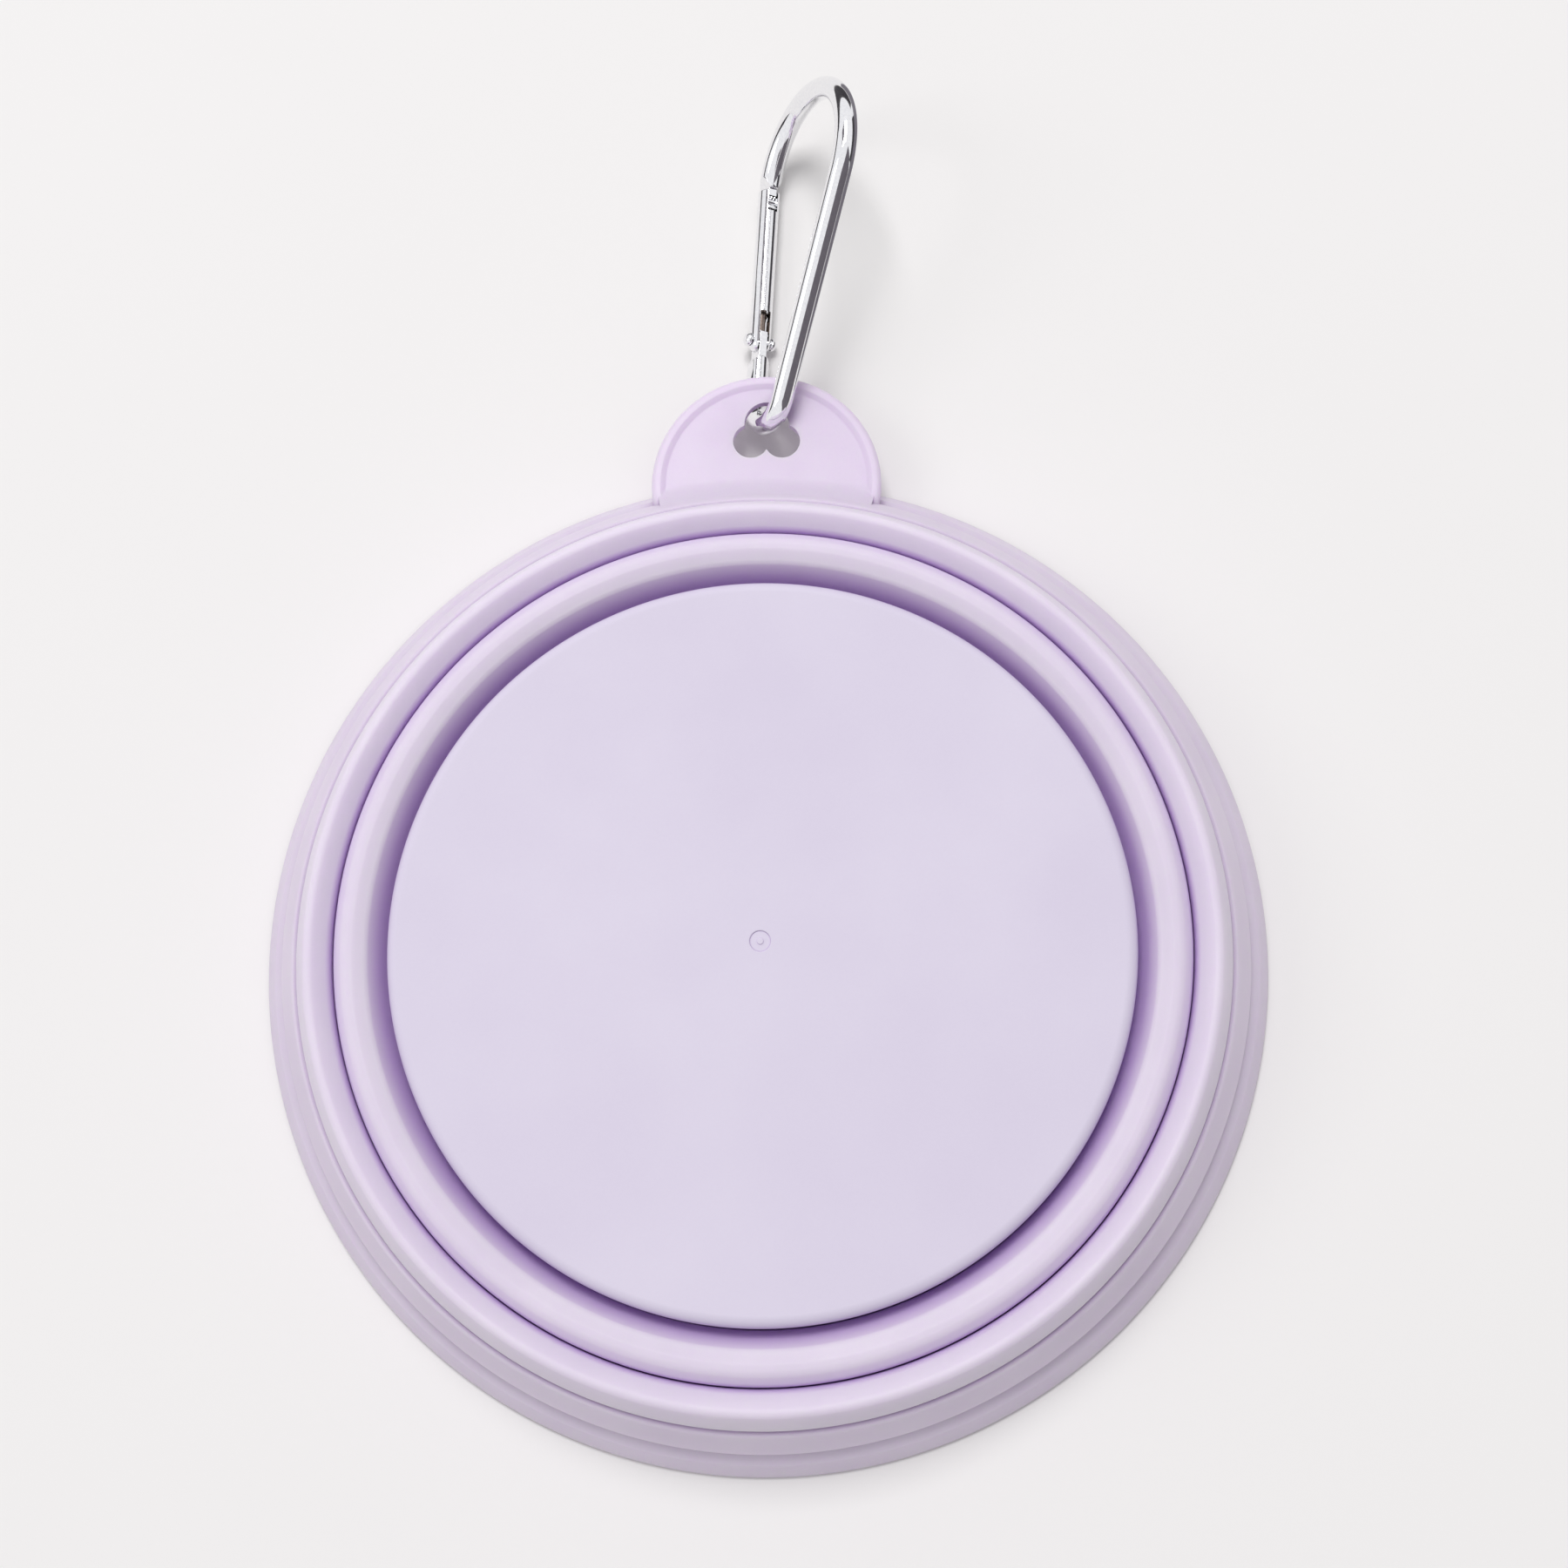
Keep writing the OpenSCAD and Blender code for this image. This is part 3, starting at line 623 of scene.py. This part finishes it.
wire_r = 1.5
wire_sides = 40
wire_end_edge = 0.2
edge_steps = 3
bend_r = 4.2
bend_steps = 40
top_bend_steps = 72
spine_angle = math.radians(25)
spine_l = 30.4
pivot_y = (hook_place.inverted() @ Vector(joints["gate_hinge"]["pos_m"])).y / mm
gate_l = 22.4
nose_gap = 0.4
stub_gap = 0.9
gate_x = -bend_r
gate_tip_y = pivot_y + gate_l
nose_y = gate_tip_y + nose_gap
stub_y = pivot_y - wire_r - stub_gap
spine_way = Vector((math.sin(spine_angle), math.cos(spine_angle), 0))
spine_out = Vector((math.cos(spine_angle), -math.sin(spine_angle), 0))
spine_end = bend_r * spine_out + spine_l * spine_way
top_r = (spine_end.x - gate_x) / (1 + math.cos(spine_angle))
top_centre = spine_end - top_r * spine_out


def straight(bm, edges, way):
    """Runs an open end of the wire straight on by millimetres, and returns its new end."""
    made = bmesh.ops.extrude_edge_only(bm, edges=edges)["geom"]
    verts = {item for item in made if isinstance(item, bmesh.types.BMVert)}
    bmesh.ops.translate(bm, verts=list(verts), vec=Vector(way) * mm)
    return [item for item in made if isinstance(item, bmesh.types.BMEdge) and set(item.verts) <= verts]


def bent(bm, edges, centre, angle, steps):
    """Bends an open end of the wire round a centre in its plane, and returns its new end."""
    verts = list({vert for edge in edges for vert in edge.verts})
    made = bmesh.ops.spin(
        bm, geom=verts + edges, cent=Vector(centre) * mm, axis=(0, 0, 1), dvec=(0, 0, 0),
        angle=angle, steps=steps, use_merge=False)["geom_last"]
    return [item for item in made if isinstance(item, bmesh.types.BMEdge)]


def block(low, high, edge):
    """A box between two corners in millimetres, with its edges rounded."""
    bm = bmesh.new()
    size = Vector(high) - Vector(low)
    middle = (Vector(high) + Vector(low)) / 2
    bmesh.ops.create_cube(bm, size=mm, matrix=Matrix.Translation(middle * mm) @ Matrix.Diagonal((*size, 1)))
    if edge:
        bmesh.ops.bevel(
            bm, geom=bm.edges[:], affect="EDGES", offset=edge * mm, segments=edge_steps, profile=0.5, material=-1)
    return bm


def rod(radius, low, high, x, y, along="Z", rounding=(0, 0)):
    """A round bar at a place in the hook's plane, along Y or across it, with its two ends rounded."""
    bm = turned([
        [0, low, 0], [radius, low, rounding[0]], [radius, high, rounding[1]], [0, high, 0],
    ], wire_sides)
    turn = Matrix.Rotation(-math.pi / 2, 4, "X") if along == "Y" else Matrix.Identity(4)
    bm.transform(Matrix.Translation(Vector((x, y, 0)) * mm) @ turn)
    return bm


wire = bmesh.new()
bmesh.ops.create_circle(
    wire, cap_ends=False, segments=wire_sides, radius=wire_r * mm,
    matrix=Matrix.Translation(Vector((gate_x, stub_y, 0)) * mm) @ Matrix.Rotation(math.pi / 2, 4, "X"))
end = straight(wire, wire.edges[:], (0, -stub_y, 0))
end = bent(wire, end, (0, 0, 0), math.pi - spine_angle, bend_steps)
end = straight(wire, end, spine_l * spine_way)
nose_turn = math.asin((nose_y - top_centre.y) / top_r)
bent(wire, end, top_centre, math.pi + spine_angle - nose_turn, top_bend_steps)
open_ends = [edge for edge in wire.edges if edge.is_boundary]
caps = bmesh.ops.holes_fill(wire, edges=open_ends, sides=0)["faces"]
bmesh.ops.bevel(
    wire, geom=list({edge for face in caps for edge in face.edges}), affect="EDGES",
    offset=wire_end_edge * mm, segments=edge_steps, profile=0.5, material=-1)

tongue_half_t = 0.6
tongue_inset = 0.3
tongue_half_w = wire_r - tongue_inset
tongue_edge = 0.1
tongue_root = 0.8
tongue_rise = 1.3
tongue_taper = 1.2
bevel_lap = 0.05
notch_l = 3.2
notch_gap = 0.4
nose_tongue_y = gate_tip_y - notch_l + notch_gap
latch_inset = 0.5
latch_x = gate_x + latch_inset
latch_y = gate_tip_y - notch_l / 2
latch_r = 0.45
latch_play = 0.3
latch_slot_r = latch_r + latch_play


def bevels(height, up, side):
    """A wedge that cuts one side of the wire down to a tongue; the wire goes on up or down from there."""
    bm = bmesh.new()
    inner = tongue_half_t - bevel_lap
    outer = 2 * wire_r - inner
    corners = ((-up, inner), (0, inner), (2 * up * tongue_taper, outer), (-up, outer))
    face = bm.faces.new([
        bm.verts.new(Vector((gate_x - 2 * wire_r, height + y, side * z)) * mm) for y, z in corners])
    made = bmesh.ops.extrude_face_region(bm, geom=[face])["geom"]
    bmesh.ops.translate(
        bm, verts=[item for item in made if isinstance(item, bmesh.types.BMVert)], vec=(4 * wire_r * mm, 0, 0))
    return settled(bm)


body = settled(wire)
for height, up in ((stub_y, -1), (nose_y, 1)):
    for side in (-1, 1):
        body = combined(body, bevels(height, up, side), "DIFFERENCE")
for low_y, high_y in ((stub_y - tongue_root, pivot_y + tongue_rise), (nose_tongue_y, nose_y + tongue_root)):
    body = combined(body, block(
        (gate_x - tongue_half_w, low_y, -tongue_half_t),
        (gate_x + tongue_half_w, high_y, tongue_half_t), tongue_edge), "UNION")
body = combined(body, rod(latch_slot_r, -wire_r, wire_r, latch_x, latch_y), "DIFFERENCE")
body = combined(body, block(
    (latch_x, latch_y - latch_slot_r, -wire_r),
    (latch_x + 2 * wire_r, latch_y + latch_slot_r, wire_r), 0), "DIFFERENCE")
body.transform(hook_place)
hook_piece = shown("hook_body_wire", body, hook_metal, "hook_metal", "hook_body")
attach(hook_piece, "hook")

# Hook gate
# Round plated bar that closes the hook, sawn into a fork over the pivot tongue and slotted over the nose.
# It is drilled up its middle from the lower slot for the spring and its plunger.
slot_half = 0.75
slot_l = 4.2
slot_top_y = pivot_y + slot_l
slot_reach = 2 * wire_r
bore_r = 0.9
rivet_r = 0.7
rivet_gap = 0.1
plunger_gap = 0.12
plunger_head_h = 1
plunger_head_top_y = slot_top_y + plunger_gap + plunger_head_h
spring_wire_r = 0.15
spring_curls = 7
spring_pitch = 0.84
spring_play = 0.03
spring_foot_y = plunger_head_top_y + spring_wire_r + spring_play
spring_top_y = spring_foot_y + spring_curls * spring_pitch
bore_top_y = spring_top_y + spring_wire_r + spring_play
foot_round = 1.1
gate = rod(wire_r, pivot_y - wire_r, gate_tip_y, gate_x, 0, "Y", (foot_round, wire_end_edge))
for low_y, high_y in ((pivot_y - slot_reach, slot_top_y), (gate_tip_y - notch_l, gate_tip_y + over)):
    gate = combined(gate, block(
        (gate_x - slot_reach, low_y, -slot_half), (gate_x + slot_reach, high_y, slot_half), 0), "DIFFERENCE")
gate = combined(gate, rod(bore_r, slot_top_y - over, bore_top_y, gate_x, 0, "Y"), "DIFFERENCE")
gate = combined(gate, rod(rivet_r + rivet_gap, -slot_reach, slot_reach, gate_x, pivot_y), "DIFFERENCE")
gate.transform(hook_place)
gate_piece = shown("hook_gate_bar", gate, hook_metal, "hook_metal", "hook_gate")
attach(gate_piece, "gate")

# Gate rivet, latch pin and plunger
# Small turned steel pieces: the rivet is headed over on both sides of the fork and turns with the hook,
# the pin is pressed across the gate's slotted tip, and the plunger slides in the gate's bore.
pin_steps = 48
rivet_head_z = wire_r + rivet_gap
rivet_head_r = 0.95
rivet_head_h = 0.7
rivet_head_round = 0.6
rivet_head_edge = 0.05
rivet = turned([
    [0, -rivet_head_z - rivet_head_h, 0],
    [rivet_head_r, -rivet_head_z - rivet_head_h, rivet_head_round],
    [rivet_head_r, -rivet_head_z, rivet_head_edge],
    [rivet_r, -rivet_head_z, 0],
    [rivet_r, rivet_head_z, 0],
    [rivet_head_r, rivet_head_z, rivet_head_edge],
    [rivet_head_r, rivet_head_z + rivet_head_h, rivet_head_round],
    [0, rivet_head_z + rivet_head_h, 0],
], pin_steps)
moved(rivet, gate_x, pivot_y, 0).transform(hook_place)
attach(shown("gate_rivet_pin", rivet, hook_metal, "hook_metal", "gate_rivet"), "hook")

latch_half = math.sqrt(wire_r ** 2 - (latch_x - gate_x + latch_r) ** 2)
pin_edge = 0.08
latch = turned([
    [0, -latch_half, 0], [latch_r, -latch_half, pin_edge], [latch_r, latch_half, pin_edge], [0, latch_half, 0],
], pin_steps)
moved(latch, latch_x, latch_y, 0).transform(hook_place)
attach(shown("gate_latch_pin_steel", latch, hook_metal, "hook_metal", "gate_latch_pin"), "gate")

along_gate = Matrix.Rotation(-math.pi / 2, 4, "X")
plunger_foot_y = pivot_y + tongue_rise + plunger_gap
stem_r = 0.6
stem_edge = 0.1
plunger_r = 0.8
plunger = turned([
    [0, plunger_foot_y, 0],
    [stem_r, plunger_foot_y, stem_edge],
    [stem_r, plunger_head_top_y - plunger_head_h, 0],
    [plunger_r, plunger_head_top_y - plunger_head_h, pin_edge],
    [plunger_r, plunger_head_top_y, pin_edge],
    [0, plunger_head_top_y, 0],
], pin_steps)
plunger.transform(hook_place @ Matrix.Translation((gate_x * mm, 0, 0)) @ along_gate)
spring_steel = plated_material(
    "spring_steel", clean=paint(150, 138, 130), stained=paint(112, 96, 88), polished=0.28, hazed=0.42,
    smudge=900, scratch=6000, relief=0.2)
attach(shown("gate_plunger_pin", plunger, spring_steel, "spring_steel", "gate_plunger"), "plunger")

# Gate spring
# Compression spring of bare drawn wire in the gate's bore, wound in seven open curls.
# It presses the plunger on the pivot tongue and shortens as the gate swings in.
coil_gap = 0.1
coil_r = bore_r - spring_wire_r - coil_gap
curl_steps = 32
coil_sides = 12
coil = bmesh.new()
bmesh.ops.create_circle(
    coil, cap_ends=False, segments=coil_sides, radius=spring_wire_r * mm,
    matrix=Matrix.Translation((coil_r * mm, 0, 0)) @ Matrix.Rotation(math.pi / 2, 4, "X"))
bmesh.ops.spin(
    coil, geom=coil.verts[:] + coil.edges[:], cent=(0, 0, 0), axis=(0, 0, 1),
    dvec=(0, 0, spring_pitch * mm / curl_steps), angle=math.tau * spring_curls,
    steps=spring_curls * curl_steps, use_merge=False)
bmesh.ops.holes_fill(coil, edges=[edge for edge in coil.edges if edge.is_boundary], sides=0)
coil.transform(hook_place @ Matrix.Translation((gate_x * mm, spring_foot_y * mm, 0)) @ along_gate)
spring_piece = shown("gate_spring_coil", coil, spring_steel, "spring_steel", "gate_spring")
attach(spring_piece, "gate")
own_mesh(spring_piece)

# Table
# A plain pale sheet, wide enough to fill the view from above, with the faintest unevenness in its tone.
table_half = 3
table_form = bmesh.new()
bmesh.ops.create_grid(table_form, x_segments=1, y_segments=1, size=table_half)
table = placed("table", table_form)
table_paint, table_tree, table_shader = new_material("table_paint")
table_shader.inputs["Roughness"].default_value = 0.8
table_shader.inputs["Specular IOR Level"].default_value = 0.1
table_cloud = noise(table_tree, object_place(table_tree), scale=12, detail=3)
table_tone = two_tone(table_tree, table_cloud, paint(248, 246, 245), paint(246, 244, 243))
table_tree.links.new(table_tone, table_shader.inputs["Base Color"])
table.data.materials.append(table_paint)

# Studio light
# A broad soft box at the back, a weak one at the left, an even white surround, and dark cards beside the set
# that only polished metal sees: painted dark reflections in the hook, standing in for a dark room and the hook's
# shade.
aim = Vector((0, 0.02, 0.008))


def lamp(name, place, size, power):
    """A square soft box at a place, turned towards the bowl."""
    light = bpy.data.lights.new(name, "AREA")
    light.size = size
    light.energy = power
    holder = bpy.data.objects.new(name, light)
    holder.location = place
    holder.rotation_euler = (aim - Vector(place)).to_track_quat("-Z", "Y").to_euler()
    bpy.context.collection.objects.link(holder)


lamp("key_soft_box", place=(-0.245, 1.387, 2.649), size=1.3, power=44.8)
lamp("left_soft_box", place=(-2.289, -0.2, 1.928), size=1.3, power=9.7)

hook_middle = hook_place @ (Vector((0, (pivot_y + gate_tip_y) / 2, 0)) * mm)
card_reach = 0.25
card_lift = 0.5 * mm


def card_material(name, light, dark):
    """A dull card paint of two close tones."""
    material, tree, shader = new_material(name)
    cloud = noise(tree, object_place(tree), scale=5, detail=2)
    tree.links.new(two_tone(tree, cloud, light, dark), shader.inputs["Base Color"])
    return material


def card(name, bearing, rise, width, height, material, lying=False):
    """A card facing the hook from a bearing and a rise in degrees, or lying there, seen only in reflections: a
    painted dark reflection.
    """
    form = bmesh.new()
    bmesh.ops.create_grid(form, x_segments=1, y_segments=1, size=0.5)
    turn = Matrix.Rotation(math.radians(bearing), 3, "Z")
    way = turn @ Matrix.Rotation(math.radians(-rise), 3, "Y") @ Vector((1, 0, 0))
    facing = Matrix.Identity(4) if lying else (-way).to_track_quat("Z", "Y").to_matrix().to_4x4()
    place = hook_middle + card_reach * way
    place.z = card_lift if lying else place.z
    form.transform(Matrix.Translation(place) @ facing @ Matrix.Diagonal((width, height, 1, 1)))
    holder = placed(name, form)
    holder.data.materials.append(material)
    for ray in ("visible_camera", "visible_diffuse", "visible_shadow", "visible_transmission"):
        setattr(holder, ray, False)


black_card = card_material("black_card", paint(72, 69, 74), paint(58, 55, 60))
grey_card = card_material("grey_card", paint(118, 113, 121), paint(102, 97, 105))
card("front_right_card", bearing=-35, rise=30, width=0.3, height=0.34, material=grey_card)
card("right_card", bearing=20, rise=8, width=0.2, height=0.11, material=black_card)
# Painted shadow in the hook's reflection: a grey sheet on the table where the hook's shade falls, seen only by
# polished metal.
card("right_table_shade_card", bearing=19, rise=0, width=0.44, height=0.21, material=grey_card, lying=True)
card("back_card", bearing=100, rise=8, width=0.5, height=0.11, material=black_card)
card("left_card", bearing=160, rise=4, width=0.28, height=0.07, material=black_card)
card("high_card", bearing=120, rise=59, width=0.07, height=0.085, material=grey_card)

world = bpy.data.worlds.new("surround")
world.use_nodes = True
bpy.context.scene.world = world
world_tree = world.node_tree
surround = world_tree.nodes["Background"]
surround.inputs["Color"].default_value = paint(250, 250, 252)
rays = world_tree.nodes.new("ShaderNodeLightPath")
seen = rays.outputs["Is Camera Ray"]
for ray in ("Is Glossy Ray", "Is Transmission Ray"):
    either = world_tree.nodes.new("ShaderNodeMath")
    either.operation = "MAXIMUM"
    world_tree.links.new(seen, either.inputs[0])
    world_tree.links.new(rays.outputs[ray], either.inputs[1])
    seen = either.outputs[0]
ambient = 0.477
backdrop = 0.95
strength = spread(world_tree, seen, low=0, high=1, to_low=ambient, to_high=backdrop)
world_tree.links.new(strength, surround.inputs["Strength"])

# Camera
# It looks down on the bowl from a little in front, so that the tab and its hook point up in the picture.
camera = bpy.data.cameras.new("camera")
camera.lens = 52
camera.sensor_width = 36
camera_place = Vector((0.01302, -0.04287, 0.29276))
camera_view = Vector((-0.03548, 0.21988, -0.97488)).normalized()
camera_top = Vector((0.0028, 0.97551, 0.21992))
camera_right = camera_view.cross(camera_top).normalized()
camera_up = camera_right.cross(camera_view)
camera_turn = Matrix((camera_right, camera_up, -camera_view)).transposed().to_4x4()
camera_holder = bpy.data.objects.new("camera", camera)
camera_holder.matrix_world = Matrix.Translation(camera_place) @ camera_turn
bpy.context.collection.objects.link(camera_holder)
bpy.context.scene.camera = camera_holder
bpy.context.scene.view_settings.view_transform = "Standard"
